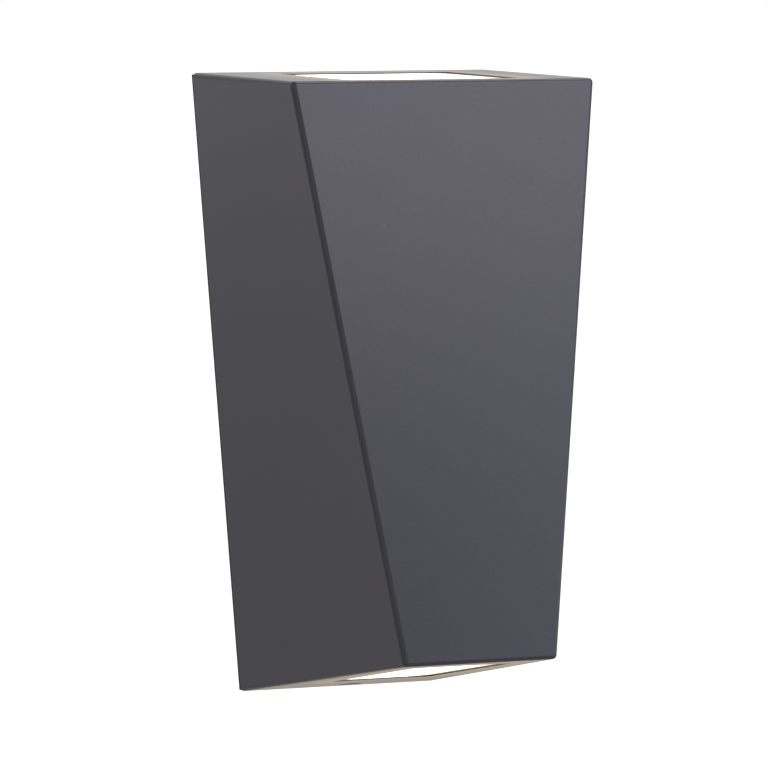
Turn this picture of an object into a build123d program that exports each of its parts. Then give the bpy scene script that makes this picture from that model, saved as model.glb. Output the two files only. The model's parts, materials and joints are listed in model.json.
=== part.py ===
from build123d import *
import math
import os

# Outdoor wall light: a faceted die-cast body that throws light up and down.
# Millimetres. The wall is the plane Y = 0, the light stands out towards -Y and +Z is up.
# The origin is the middle of the cable entry, on the wall.
# "out" below is the distance from the wall, so a point lies at Y = -out.

# Body: wide and shallow at the top, narrow and deep at the bottom
HEIGHT = 215.0
TOP_BACK_WIDTH = 117.8
TOP_FRONT_WIDTH = 119.5
TOP_DEPTH = 73.0
TOP_FALL = 1.0
BOTTOM_BACK_WIDTH = 78.0
BOTTOM_FRONT_WIDTH = 60.0
BOTTOM_DEPTH = 100.0
BOTTOM_RISE = 17.5
WALL = 2.6
RIM = 3.0
EDGE_RADIUS = 1.6

# Foam seal on the body's back edge
BACK_SEAL = 2.0
BACK_SEAL_WIDTH = 1.8
BACK_SEAL_INSET = 0.7

# Rims round the windows in the top and bottom faces
TOP_RIM_BACK = 17.0
TOP_RIM_FRONT = 7.0
TOP_RIM_SIDE = 25.4
BOTTOM_RIM_BACK = 31.0
BOTTOM_RIM_FRONT = 12.0
BOTTOM_RIM_SIDE = 10.5
WINDOW_RADIUS = 1.5

# Lenses: a pad that fills the window, on a flange behind the rim
LENS_RECESS = 0.5
LENS_GAP = 0.25
LENS_LIP = 3.0
LENS_FLANGE = 2.0
LENS_SEAL = 1.0

# Reflectors, which also clamp the lenses
REFLECTOR_FLARE = 9.5
REFLECTOR_WALL = 1.5
REFLECTOR_FLANGE = 2.0
REFLECTOR_EAR_RADIUS = 3.3
REFLECTOR_BOSS_RADIUS = 3.0
REFLECTOR_BOSS_OFFSET = 3.9
REFLECTOR_BOSS_SPREAD = 20.0
REFLECTOR_LEDGE = 0.5

# LED boards
BOARD_DEPTH = 30.0
BOARD_THICKNESS = 1.6
BOARD_MARGIN = 3.0
BOARD_LEAD_MARGIN = 7.0
BOARD_SCREW_MARGIN = 10.0
BOARD_SCREW_INSET = 4.0
THERMAL_PAD = 0.5
LED_SIZE = 3.0
LED_HEIGHT = 0.8
LED_PITCH = 7.0
LED_MARGIN = 3.5

# Chassis: a bent sheet that carries the boards, the driver and the terminal block
CHASSIS_OUT = 20.0
CHASSIS_SHEET = 2.0
CHASSIS_BEND = 1.8
CHASSIS_GAP = 2.5
FLANGE_MARGIN = 1.5
POST_TOP_DROP = 21.0
POST_BOTTOM_RISE = 23.0
POST_RADIUS = 4.0
POST_INSET = 2.0
POST_RIB = 5.0

# Small screws, M3
SCREW_RADIUS = 1.45
SCREW_TAPPED = 1.5
SCREW_CLEAR = 1.7
SCREW_HEAD_RADIUS = 2.75
SCREW_HEAD_HEIGHT = 2.2
SCREW_SHORT = 6.0
SCREW_LONG = 8.0
SCREW_END_GAP = 0.3
HEAD_ROUNDING = 0.45
CROSS_LENGTH = 2.8
CROSS_WIDTH = 0.7
CROSS_DEPTH = 1.1

# Wall bracket
BRACKET_SHEET = 1.5
BRACKET_MARGIN = 7.0
BRACKET_CORNER = 5.0
BRACKET_DROP = 6.0
SLOT_WIDTH = 5.0
SIDE_SLOT_LENGTH = 12.0
SIDE_SLOT_SPACING = 44.0
UPRIGHT_SLOT_LENGTH = 14.0
UPRIGHT_SLOT_SPACING = 116.0

# Cable grommet
CABLE_RADIUS = 4.0
CABLE_HOLE_RADIUS = 8.0
GROMMET_FLANGE_RADIUS = 10.5
GROMMET_FLANGE = 2.5
GROMMET_FIT = 0.05

# Hinge pin in the body's lugs, resting in the bracket's ears
PIN_OUT = 7.0
PIN_RADIUS = 2.0
PIN_GAP = 0.05
PIN_HEADROOM = 0.4
PIN_CHAMFER = 0.4
LUG_X = 27.0
LUG_WIDTH = 5.0
LUG_RADIUS = 4.0
PIN_OVERHANG = 0.5
EAR_X = 20.0
EAR_LIP = 3.0
EAR_LIP_HEIGHT = 1.5
EAR_PRONG = 1.2
EAR_PRONG_HEIGHT = 0.3
EAR_DROP = 26.0
EAR_FRONT_DROP = 14.0
EAR_FOOT = 11.0
EAR_FOOT_DROP = 9.0

# Lock: a screw through the bottom face draws a clamp bar down on the bracket's tab
LOCK_OUT = 10.0
LOCK_RADIUS = 2.0
LOCK_CLEAR = 2.25
LOCK_HEAD_RADIUS = 3.8
LOCK_HEAD_HEIGHT = 2.2
LOCK_HEAD_ROUND = 1.5
LOCK_CHAMFER = 0.5
LOCK_HEX = 2.5
LOCK_HEX_DEPTH = 1.3
LOCK_SINK = 0.75
LOCK_SINK_RADIUS = 4.6
LOCK_WASHER = 0.5
LOCK_WASHER_RADIUS = 4.2
LOCK_LAND = 2.8
LOCK_BOSS_WIDTH = 26.0
LOCK_BOSS_BACK = 3.5
LOCK_BOSS_FRONT = 18.0
LOCK_TRAVEL = 1.4
LOCK_TIP = 1.0
TAB_WIDTH = 16.0
TAB_FOOT = 13.0
TAB_FRONT = 17.0
TAB_SLOT_WIDTH = 4.8
TAB_CLEARANCE = 0.35
BAR_LENGTH = 20.0
BAR_WIDTH = 8.0
BAR_THICKNESS = 2.5
BAR_CHAMFER = 0.3
BAR_CLEARANCE = 0.1
BAR_HOLE_GAP = 0.05
GUIDE_GAP = 0.4
GUIDE_WIDTH = 2.2
GUIDE_SPARE = 0.6

# Terminal block with three levers
POLE_PITCH = 6.2
POLE_SIDE = 4.2
TERMINAL_Z = 14.0
TERMINAL_HEIGHT = 20.0
TERMINAL_THICKNESS = 8.5
TERMINAL_EAR = 7.0
TERMINAL_EAR_HEIGHT = 9.0
TERMINAL_EAR_THICKNESS = 3.0
ENTRY_RADIUS = 1.7
CONTACT_WIDTH = 4.4
CONTACT_THICKNESS = 3.4
CONTACT_HEIGHT = 11.0
CONTACT_RISE = 5.0
CONTACT_BACKING = 0.9
CONTACT_GAP = 0.1
CONTACT_BORE = 1.2
LEVER_WIDTH = 4.6
LEVER_GAP = 0.2
LEVER_HUB_RADIUS = 1.8
LEVER_HUB_GAP = 0.1
LEVER_HUB_DROP = 3.0
LEVER_LENGTH = 10.0
LEVER_THICKNESS = 2.0
LEVER_LIP = 1.4
LEVER_LIP_LENGTH = 1.6

# Driver
DRIVER_WIDTH = 40.0
DRIVER_DEPTH = 26.0
DRIVER_LENGTH = 78.0
DRIVER_WALL = 1.8
DRIVER_LID = 2.0
DRIVER_LIP = 3.0
DRIVER_LIP_GAP = 0.15
DRIVER_EAR_X = 13.0
DRIVER_EAR_WIDTH = 9.0
DRIVER_EAR_LENGTH = 9.0
DRIVER_EAR_THICKNESS = 2.5
PILLAR_RADIUS = 2.0
PILLAR_HEIGHT = 3.0
PILLAR_INSET = 3.0
PCB_GAP = 0.6
PCB_THICKNESS = 1.6
CORE_WIDTH = 18.0
CORE_DEPTH = 13.0
CORE_LENGTH = 16.0
COIL_WIDTH = 22.0
COIL_DEPTH = 9.0
COIL_LENGTH = 9.0
COIL_ROUND = 3.0
CAPACITOR_RADIUS = 4.0
CAPACITOR_HEIGHT = 14.0
CAPACITOR_SPACING = 16.0
CAPACITOR_RISE = 22.0
CAPACITOR_ROUND = 0.8

# Insulated leads
MAINS_LEAD_RADIUS = 1.3
LED_LEAD_RADIUS = 0.8
LEAD_GAP = 0.05
LEAD_HOLE_GAP = 0.7
LEAD_PITCH = 9.0
LEAD_CLEAR = 2.5
LEAD_TAIL = 1.0
LEAD_HOLE_DROP = 14.0
LEAD_FALL = 14.0
MAINS_ENTRY = 13.0
MAINS_BEND = 5.0
EARTH_BEND = 5.0
TOP_LEAD_RISE = 20.0
TOP_LEAD_BEND = 4.0
BOTTOM_LEAD_RISE = 10.0
BOTTOM_LEAD_BEND = 10.0

# Grommet where the mains leads pass the chassis
LEAD_GROMMET_RADIUS = 6.6
LEAD_GROMMET_FLANGE_RADIUS = 8.1
LEAD_GROMMET_FLANGE = 1.2
LEAD_GROMMET_BORE = 5.4

# Earth ring tag and its screw, M4
TAG_X = 27.5
TAG_RISE = 12.0
TAG_SHEET = 0.8
TAG_RADIUS = 4.0
TAG_HOLE = 2.1
TAG_BARREL_RADIUS = 1.9
TAG_BARREL_LENGTH = 5.0
TAG_NECK = 2.5
TAG_NECK_WIDTH = 3.0
EARTH_SCREW_RADIUS = 1.95
EARTH_TAPPED = 2.0
EARTH_HEAD_RADIUS = 3.8
EARTH_HEAD_HEIGHT = 2.4
EARTH_SCREW_LENGTH = 6.0

# Length by which a cut runs past the face it opens
PAST = 1.0

# Rounds of the search for a place on a ruled side face
SEARCH_ROUNDS = 8

TOP_Z = HEIGHT / 2
BOTTOM_Z = -HEIGHT / 2
TOP_SLOPE = TOP_FALL / TOP_DEPTH
BOTTOM_SLOPE = BOTTOM_RISE / BOTTOM_DEPTH
TOP_WINDOW = (
    TOP_BACK_WIDTH - 2 * TOP_RIM_SIDE,
    TOP_DEPTH - TOP_RIM_BACK - TOP_RIM_FRONT,
)
BOTTOM_WINDOW = (
    BOTTOM_FRONT_WIDTH - 2 * BOTTOM_RIM_SIDE,
    BOTTOM_DEPTH - BOTTOM_RIM_BACK - BOTTOM_RIM_FRONT,
)
BASE = (Align.CENTER, Align.CENTER, Align.MIN)

LENS_TOP_OF_FLANGE = -RIM - LENS_SEAL
CLAMP_Z = LENS_TOP_OF_FLANGE - LENS_FLANGE
BOARD_BACK = -BOARD_DEPTH - BOARD_THICKNESS
FLANGE_TOP = BOARD_BACK - THERMAL_PAD
WEB_FRONT = CHASSIS_OUT + CHASSIS_SHEET
WEB_TOP = TOP_Z - TOP_SLOPE * CHASSIS_OUT + FLANGE_TOP
WEB_BOTTOM = BOTTOM_Z + BOTTOM_SLOPE * CHASSIS_OUT - FLANGE_TOP
POST_TOP_Z = WEB_TOP - POST_TOP_DROP
POST_BOTTOM_Z = WEB_BOTTOM + POST_BOTTOM_RISE
LEAD_HOLE_Z = WEB_TOP - LEAD_HOLE_DROP

PIN_Z = TOP_Z - TOP_SLOPE * PIN_OUT - RIM - PIN_HEADROOM - PIN_RADIUS

LOCK_FACE_Z = BOTTOM_Z + BOTTOM_SLOPE * LOCK_OUT
LOCK_SEAT_Z = LOCK_FACE_Z + LOCK_SINK + LOCK_HEAD_HEIGHT + LOCK_WASHER
LOCK_BOSS_Z = LOCK_SEAT_Z + LOCK_LAND
TAB_LOW = LOCK_BOSS_Z + TAB_CLEARANCE
TAB_HIGH = TAB_LOW + BRACKET_SHEET
BAR_LOW = TAB_HIGH + BAR_CLEARANCE
BAR_HIGH = BAR_LOW + BAR_THICKNESS

BRACKET_WIDTH = BOTTOM_BACK_WIDTH - 2 * BRACKET_MARGIN
BRACKET_TOP = PIN_Z - BRACKET_DROP

TERMINAL_BACK = CHASSIS_OUT - TERMINAL_THICKNESS
TERMINAL_TOP = TERMINAL_Z + TERMINAL_HEIGHT
CONTACT_OUT = CHASSIS_OUT - CONTACT_BACKING - CONTACT_THICKNESS / 2
CONTACT_LOW = TERMINAL_Z + CONTACT_RISE
CONTACT_HIGH = CONTACT_LOW + CONTACT_HEIGHT
LEVER_OUT = TERMINAL_BACK + LEVER_HUB_RADIUS + LEVER_HUB_GAP
LEVER_Z = TERMINAL_TOP - LEVER_HUB_DROP
POLES = [-POLE_PITCH / 2, POLE_PITCH / 2, 3 * POLE_PITCH / 2]
TERMINAL_X = (POLES[0] + POLES[2]) / 2
TERMINAL_WIDTH = 2 * POLE_PITCH + 2 * POLE_SIDE

TAG_Z = TERMINAL_TOP + TAG_RISE

DRIVER_FRONT = WEB_FRONT + DRIVER_DEPTH
DRIVER_HIGH = LEAD_HOLE_Z - LEAD_FALL
DRIVER_LOW = DRIVER_HIGH - DRIVER_LENGTH
DRIVER_Z = (DRIVER_LOW + DRIVER_HIGH) / 2
TOP_LEAD_Z = DRIVER_LOW + TOP_LEAD_RISE
BOTTOM_LEAD_Z = DRIVER_LOW + BOTTOM_LEAD_RISE
PCB_OUT = WEB_FRONT + DRIVER_WALL + PILLAR_HEIGHT
PCB_FRONT = PCB_OUT + PCB_THICKNESS


def at(x, out, z):
    """Point given by its distance out from the wall."""
    return (x, -out, z)


def slab(x, y, z, plane=Plane.XY):
    """Box between pairs of coordinates in a plane's frame."""
    middle = ((x[0] + x[1]) / 2, (y[0] + y[1]) / 2, (z[0] + z[1]) / 2)
    return plane.location * Location(middle) * Box(x[1] - x[0], y[1] - y[0], z[1] - z[0])


def block(x, out, z):
    """Box between pairs of coordinates, the second pair measured out from the wall."""
    return slab(x, (-out[1], -out[0]), z)


def rod(radius, start, end):
    """Round bar between two points."""
    run = Vector(end) - Vector(start)
    plane = Plane(origin=start, z_dir=run)
    return plane.location * Cylinder(radius, run.length, align=BASE)


def sheet(width, depth, radius, low, high):
    """Plate with rounded corners between two heights."""
    return Location((0, 0, low)) * extrude(RectangleRounded(width, depth, radius), high - low)


def funnel(low, high, low_size, high_size, radius):
    """Four-sided funnel with rounded corners between two heights."""
    start = Location((0, 0, low)) * RectangleRounded(*low_size, radius)
    end = Location((0, 0, high)) * RectangleRounded(*high_size, radius)
    return loft([start, end])


def pan_screw(radius, length, head_radius, head_height):
    """Cross-head screw with its seat at z = 0, the head above and the shank below."""
    head = Cylinder(head_radius, head_height, align=BASE)
    head = fillet(head.edges().group_by(Axis.Z)[-1], head_height * HEAD_ROUNDING)
    shank = Location((0, 0, -length)) * Cylinder(radius, length + head_height / 2, align=BASE)
    depth = (head_height - CROSS_DEPTH, head_height + PAST)
    half_long = CROSS_LENGTH / 2
    half_short = CROSS_WIDTH / 2
    cross = slab((-half_long, half_long), (-half_short, half_short), depth)
    cross += slab((-half_short, half_short), (-half_long, half_long), depth)
    return head + shank - cross


def m3(length):
    """M3 pan-head screw."""
    return pan_screw(SCREW_RADIUS, length, SCREW_HEAD_RADIUS, SCREW_HEAD_HEIGHT)


def facing(point, direction):
    """Location that turns a screw's head to a direction at a point."""
    return Plane(origin=point, z_dir=direction).location


def lead(points, bends, radius):
    """Wire of straight runs joined by tangent arcs."""
    path = FilletPolyline(*points, radius=bends)
    return sweep(Plane(origin=path @ 0, z_dir=path % 0) * Circle(radius), path)


def ruled_half_width(low_line, high_line, out, z):
    """Half width of a side face that runs straight from one line to another."""
    t = (z - BOTTOM_Z) / HEIGHT
    for _ in range(SEARCH_ROUNDS):
        start = [a + t * (b - a) for a, b in zip(low_line[0], high_line[0])]
        end = [a + t * (b - a) for a, b in zip(low_line[1], high_line[1])]
        s = (out - start[1]) / (end[1] - start[1])
        low = [a + s * (b - a) for a, b in zip(*low_line)]
        high = [a + s * (b - a) for a, b in zip(*high_line)]
        t = (z - low[2]) / (high[2] - low[2])
    return low[0] + t * (high[0] - low[0])


def cavity_lines():
    """Lower and upper edge of the hollow's side, each as two (half width, out, z) points."""
    back = -BACK_SEAL - PAST
    front_low = BOTTOM_DEPTH - WALL
    front_high = TOP_DEPTH - WALL
    taper = (BOTTOM_BACK_WIDTH - BOTTOM_FRONT_WIDTH) / 2 / BOTTOM_DEPTH
    flare = (TOP_FRONT_WIDTH - TOP_BACK_WIDTH) / 2 / TOP_DEPTH
    rim_low = RIM * math.hypot(1, BOTTOM_SLOPE)
    rim_high = RIM * math.hypot(1, TOP_SLOPE)
    half_low = BOTTOM_BACK_WIDTH / 2 - WALL
    half_high = TOP_BACK_WIDTH / 2 - WALL
    low = []
    for out in (back, front_low):
        low.append((half_low - taper * out, out, BOTTOM_Z + BOTTOM_SLOPE * out + rim_low))
    high = []
    for out in (back, front_high):
        high.append((half_high + flare * out, out, TOP_Z - TOP_SLOPE * out - rim_high))
    return low, high


def inner_half_width(out, z):
    """Half width of the hollow at a place inside the body."""
    return ruled_half_width(*cavity_lines(), out, z)


def faceted(low_line, high_line):
    """Solid between mirrored side faces, each given by its lower and upper edge."""
    rings = []
    for line in (low_line, high_line):
        (x0, out0, z0), (x1, out1, z1) = line
        corners = [at(-x0, out0, z0), at(x0, out0, z0), at(x1, out1, z1), at(-x1, out1, z1)]
        rings.append(Wire.make_polygon([Vector(p) for p in corners], close=True))
    return Solid.make_loft(rings, ruled=True)


def body_block():
    """Outside of the body as one solid, with softened edges, cut off at the back seal."""
    low = [
        (BOTTOM_BACK_WIDTH / 2, 0, BOTTOM_Z),
        (BOTTOM_FRONT_WIDTH / 2, BOTTOM_DEPTH, BOTTOM_Z + BOTTOM_RISE),
    ]
    high = [
        (TOP_BACK_WIDTH / 2, 0, TOP_Z),
        (TOP_FRONT_WIDTH / 2, TOP_DEPTH, TOP_Z - TOP_FALL),
    ]
    solid = Part() + faceted(low, high)
    soft = [e for e in solid.edges() if e.center().Y < -BACK_SEAL]
    solid = fillet(soft, EDGE_RADIUS)
    reach = HEIGHT
    return solid - slab((-reach, reach), (-BACK_SEAL, reach), (-reach, reach))


class End:
    """One lit end of the body: its face, its window and its LED board."""

    def __init__(self, name, middle, normal, across, window, screws_across):
        self.name = name
        self.plane = Plane(origin=middle, x_dir=(across, 0, 0), z_dir=normal)
        self.window = window
        self.mouth = [size - 2 * REFLECTOR_FLARE for size in window]
        side = BOARD_SCREW_MARGIN if screws_across else BOARD_MARGIN
        back = BOARD_MARGIN if screws_across else BOARD_SCREW_MARGIN
        front = BOARD_LEAD_MARGIN if screws_across else BOARD_SCREW_MARGIN
        self.board_x = self.mouth[0] / 2 + side
        self.board_y = (-self.mouth[1] / 2 - front, self.mouth[1] / 2 + back)
        screw_x = self.board_x - BOARD_SCREW_INSET if screws_across else 0
        screw_y = 0 if screws_across else self.board_y[1] - BOARD_SCREW_INSET
        self.board_screws = [(-screw_x, -screw_y), (screw_x, screw_y)]
        lead_y = -self.mouth[1] / 2 - REFLECTOR_WALL - LEAD_CLEAR
        self.leads = [(-LEAD_PITCH / 2, lead_y), (LEAD_PITCH / 2, lead_y)]
        boss_x = window[0] / 2 + LENS_LIP + REFLECTOR_BOSS_OFFSET
        boss_y = REFLECTOR_BOSS_SPREAD / 2
        self.bosses = [(x, y) for x in (-boss_x, boss_x) for y in (-boss_y, boss_y)]

    def place(self, shape):
        """Move a shape from the face's own frame, z outward and y to the wall."""
        return self.plane.location * shape

    def grown(self, margin):
        """Window size with a margin on every side."""
        return [size + 2 * margin for size in self.window]

    def point(self, x, y, z):
        """Point of the face's own frame in the light's frame."""
        return self.plane.from_local_coords(Vector(x, y, z))


def make_ends():
    """Top and bottom ends."""
    top_out = TOP_RIM_BACK + TOP_WINDOW[1] / 2
    bottom_out = BOTTOM_RIM_BACK + BOTTOM_WINDOW[1] / 2
    top = End(
        "top",
        at(0, top_out, TOP_Z - TOP_SLOPE * top_out),
        (0, -TOP_SLOPE, 1),
        1,
        TOP_WINDOW,
        True,
    )
    bottom = End(
        "bottom",
        at(0, bottom_out, BOTTOM_Z + BOTTOM_SLOPE * bottom_out),
        (0, -BOTTOM_SLOPE, -1),
        -1,
        BOTTOM_WINDOW,
        False,
    )
    return top, bottom


def lens(end):
    """Stepped lens: flange behind the rim, pad up through the window."""
    flange = sheet(*end.grown(LENS_LIP), WINDOW_RADIUS, CLAMP_Z, LENS_TOP_OF_FLANGE)
    pad = sheet(*end.grown(-LENS_GAP), WINDOW_RADIUS - LENS_GAP, CLAMP_Z, -LENS_RECESS)
    return end.place(flange + pad)


def lens_seal(end):
    """Flat ring between the lens flange and the rim."""
    ring = sheet(*end.grown(LENS_LIP), WINDOW_RADIUS, LENS_TOP_OF_FLANGE, -RIM)
    return end.place(ring - sheet(*end.window, WINDOW_RADIUS, LENS_TOP_OF_FLANGE - PAST, 0))


def reflector(end):
    """Funnel from the board's LEDs to the lens, with a flange and four screw ears."""
    opening = end.grown(-REFLECTOR_LEDGE)
    flange_low = CLAMP_Z - REFLECTOR_FLANGE
    outer_low = [size + 2 * REFLECTOR_WALL for size in end.mouth]
    outer_high = [size + 2 * REFLECTOR_WALL for size in opening]
    body = funnel(-BOARD_DEPTH, CLAMP_Z, outer_low, outer_high, WINDOW_RADIUS + REFLECTOR_WALL)
    body += sheet(*end.grown(LENS_LIP), WINDOW_RADIUS, flange_low, CLAMP_Z)
    for x, y in end.bosses:
        ear = Cylinder(REFLECTOR_EAR_RADIUS, REFLECTOR_FLANGE, align=BASE)
        body += Location((x, y, flange_low)) * ear
        across = sorted((math.copysign(end.window[0] / 2, x), x))
        along = (y - REFLECTOR_EAR_RADIUS, y + REFLECTOR_EAR_RADIUS)
        body += slab(across, along, (flange_low, CLAMP_Z))
    body -= funnel(-BOARD_DEPTH, CLAMP_Z, end.mouth, opening, WINDOW_RADIUS)
    for x, y in end.bosses:
        body -= Location((x, y, flange_low)) * Cylinder(SCREW_CLEAR, 2 * (REFLECTOR_FLANGE + PAST))
    return end.place(body)


def reflector_screws(end):
    """Four screws up through the reflector's ears."""
    seat = CLAMP_Z - REFLECTOR_FLANGE
    return [end.place(facing((x, y, seat), (0, 0, -1)) * m3(SCREW_SHORT)) for x, y in end.bosses]


def led_board(end):
    """Board with holes for its screws and leads."""
    board = slab((-end.board_x, end.board_x), end.board_y, (BOARD_BACK, -BOARD_DEPTH))
    through = 2 * (BOARD_THICKNESS + PAST)
    for x, y in end.board_screws:
        board -= Location((x, y, BOARD_BACK)) * Cylinder(SCREW_CLEAR, through)
    for x, y in end.leads:
        board -= Location((x, y, BOARD_BACK)) * Cylinder(LED_LEAD_RADIUS + LEAD_GAP, through)
    return end.place(board)


def leds(end):
    """Grid of LEDs on the board, as many as the reflector's mouth takes."""
    across, deep = [int((size - 2 * LED_MARGIN) / LED_PITCH) + 1 for size in end.mouth]
    chips = []
    for i in range(across):
        for j in range(deep):
            x = (i - (across - 1) / 2) * LED_PITCH
            y = (j - (deep - 1) / 2) * LED_PITCH
            chip = Box(LED_SIZE, LED_SIZE, LED_HEIGHT, align=BASE)
            chips.append(end.place(Location((x, y, -BOARD_DEPTH)) * chip))
    return chips


def pierced(end, plate, middle, radius):
    """Cut a plate of the end's stack for the board's screws and leads."""
    through = 2 * (CHASSIS_SHEET + PAST)
    for x, y in end.board_screws:
        plate -= Location((x, y, middle)) * Cylinder(radius, through)
    for x, y in end.leads:
        plate -= Location((x, y, middle)) * Cylinder(LED_LEAD_RADIUS + LEAD_HOLE_GAP, through)
    return plate


def thermal_pad(end):
    """Soft pad between the board and the chassis."""
    pad = slab((-end.board_x, end.board_x), end.board_y, (FLANGE_TOP, BOARD_BACK))
    return end.place(pierced(end, pad, FLANGE_TOP, SCREW_CLEAR))


def board_screws(end):
    """Two screws that hold the board on the chassis."""
    return [end.place(Location((x, y, -BOARD_DEPTH)) * m3(SCREW_SHORT)) for x, y in end.board_screws]


def chassis_flange(end):
    """Bent end of the chassis under the LED board."""
    half = end.board_x + FLANGE_MARGIN
    reach = (end.board_y[0], BOTTOM_DEPTH)
    plate = slab((-half, half), reach, (FLANGE_TOP - CHASSIS_SHEET, FLANGE_TOP))
    return end.place(pierced(end, plate, FLANGE_TOP, SCREW_TAPPED))


def flange_z(end):
    """Height of the middle of the chassis flange where it meets the web."""
    middle = end.point(0, 0, FLANGE_TOP - CHASSIS_SHEET / 2)
    along = end.plane.y_dir
    return middle.Z + along.Z / along.Y * (-CHASSIS_OUT - CHASSIS_SHEET / 2 - middle.Y)


def posts():
    """Where the four chassis posts stand, as (x, z)."""
    spots = []
    for z in (POST_TOP_Z, POST_BOTTOM_Z):
        x = inner_half_width(WEB_FRONT, z) - POST_RADIUS - POST_INSET
        spots += [(-x, z), (x, z)]
    return spots


def driver_ears():
    """Where the driver's two screws go, as (x, z)."""
    half = DRIVER_EAR_LENGTH / 2
    return [(DRIVER_EAR_X, DRIVER_HIGH + half), (-DRIVER_EAR_X, DRIVER_LOW - half)]


def terminal_ears():
    """Where the terminal block's two screws go, as (x, z)."""
    away = TERMINAL_WIDTH / 2 + TERMINAL_EAR / 2
    z = TERMINAL_Z + TERMINAL_HEIGHT / 2
    return [(TERMINAL_X - away, z), (TERMINAL_X + away, z)]


def drilled(shape, spots, radius, out, depth):
    """Drill holes straight in from the wall side, at (x, z) spots."""
    for x, z in spots:
        shape -= rod(radius, at(x, out - PAST, z), at(x, out + depth, z))
    return shape


def chassis(ends):
    """Bent sheet: a web that faces the wall and a flange under each LED board."""
    high, low = [flange_z(end) for end in ends]
    corners = []
    for z, side in ((low, -1), (low, 1), (high, 1), (high, -1)):
        corners.append((side * (inner_half_width(WEB_FRONT, z) - CHASSIS_GAP), z))
    outline = Plane.XZ * make_face(Polyline(*corners, close=True))
    solid = Location((0, -CHASSIS_OUT, 0)) * extrude(outline, CHASSIS_SHEET)
    for end in ends:
        solid += chassis_flange(end)
    reach = HEIGHT
    solid -= slab((-reach, reach), (-CHASSIS_OUT, reach), (-reach, reach))
    back = solid.edges().filter_by(Axis.X).group_by(Axis.Y)[-1].sort_by(Axis.Z)
    solid = fillet([back[0], back[-1]], CHASSIS_BEND)
    through = CHASSIS_SHEET + PAST
    solid = drilled(solid, posts(), SCREW_CLEAR, CHASSIS_OUT, through)
    solid = drilled(solid, driver_ears() + terminal_ears(), SCREW_TAPPED, CHASSIS_OUT, through)
    solid = drilled(solid, [(TAG_X, TAG_Z)], EARTH_TAPPED, CHASSIS_OUT, through)
    return drilled(solid, [(0, LEAD_HOLE_Z)], LEAD_GROMMET_RADIUS, CHASSIS_OUT, through)


def chassis_screws():
    """Four screws from the wall side into the posts."""
    return [facing(at(x, CHASSIS_OUT, z), (0, 1, 0)) * m3(SCREW_LONG) for x, z in posts()]


def housing_shell(ends):
    """Cast body: thin walls, two windowed rims, and the posts, lugs and bosses inside."""
    outer = body_block()
    added = lock_boss() + hinge_lugs()
    for x, z in posts():
        added += rod(POST_RADIUS, at(x, WEB_FRONT, z), at(x, BOTTOM_DEPTH, z))
        across = sorted((x, math.copysign(TOP_FRONT_WIDTH / 2, x)))
        rise = (z - POST_RIB / 2, z + POST_RIB / 2)
        added += block(across, (WEB_FRONT, BOTTOM_DEPTH), rise)
    for end in ends:
        boss = Cylinder(REFLECTOR_BOSS_RADIUS, -CLAMP_Z, align=BASE)
        for x, y in end.bosses:
            added += end.place(Location((x, y, CLAMP_Z)) * boss)
    solid = outer - faceted(*cavity_lines()) + (added & outer)
    for end in ends:
        solid -= end.place(sheet(*end.window, WINDOW_RADIUS, CLAMP_Z, PAST))
        seat = CLAMP_Z - REFLECTOR_FLANGE
        hole = Cylinder(SCREW_TAPPED, SCREW_SHORT + SCREW_END_GAP, align=BASE)
        for x, y in end.bosses:
            solid -= end.place(Location((x, y, seat)) * hole)
    solid = drilled(solid, posts(), SCREW_TAPPED, WEB_FRONT, SCREW_LONG)
    reach = LUG_X + LUG_WIDTH
    bore = rod(PIN_RADIUS + PIN_GAP, at(-reach, PIN_OUT, PIN_Z), at(reach, PIN_OUT, PIN_Z))
    solid -= bore & hinge_lugs()
    solid -= rod(LOCK_CLEAR, at(0, LOCK_OUT, BOTTOM_Z), at(0, LOCK_OUT, LOCK_BOSS_Z + PAST))
    solid -= rod(LOCK_SINK_RADIUS, at(0, LOCK_OUT, BOTTOM_Z), at(0, LOCK_OUT, LOCK_SEAT_Z))
    return solid


def hinge_lugs():
    """Two lugs that hang from the top rim and carry the hinge pin."""
    lugs = Part()
    for x in (-LUG_X, LUG_X):
        side = (x - LUG_WIDTH / 2, x + LUG_WIDTH / 2)
        lugs += block(side, (PIN_OUT - LUG_RADIUS, PIN_OUT + LUG_RADIUS), (PIN_Z, TOP_Z - RIM / 2))
        lugs += rod(LUG_RADIUS, at(side[0], PIN_OUT, PIN_Z), at(side[1], PIN_OUT, PIN_Z))
    return lugs


def lock_boss():
    """Flat seat for the lock screw and two guides that keep the clamp bar from turning."""
    half = LOCK_BOSS_WIDTH / 2
    boss = block((-half, half), (LOCK_BOSS_BACK, LOCK_BOSS_FRONT), (BOTTOM_Z, LOCK_BOSS_Z))
    inner = BAR_LENGTH / 2 + GUIDE_GAP
    guide_top = BAR_HIGH + LOCK_TRAVEL + GUIDE_SPARE
    reach = (LOCK_OUT - BAR_WIDTH / 2 - PAST, LOCK_OUT + BAR_WIDTH / 2 + PAST)
    for side in (-1, 1):
        span = sorted((side * inner, side * (inner + GUIDE_WIDTH)))
        boss += block(span, reach, (LOCK_BOSS_Z - PAST, guide_top))
    return boss


def hinge_pin():
    """Steel pin through both lugs."""
    half = LUG_X + LUG_WIDTH / 2 + PIN_OVERHANG
    pin = rod(PIN_RADIUS, at(-half, PIN_OUT, PIN_Z), at(half, PIN_OUT, PIN_Z))
    ends = pin.edges().filter_by(GeomType.CIRCLE)
    return chamfer(ends, PIN_CHAMFER)


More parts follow.
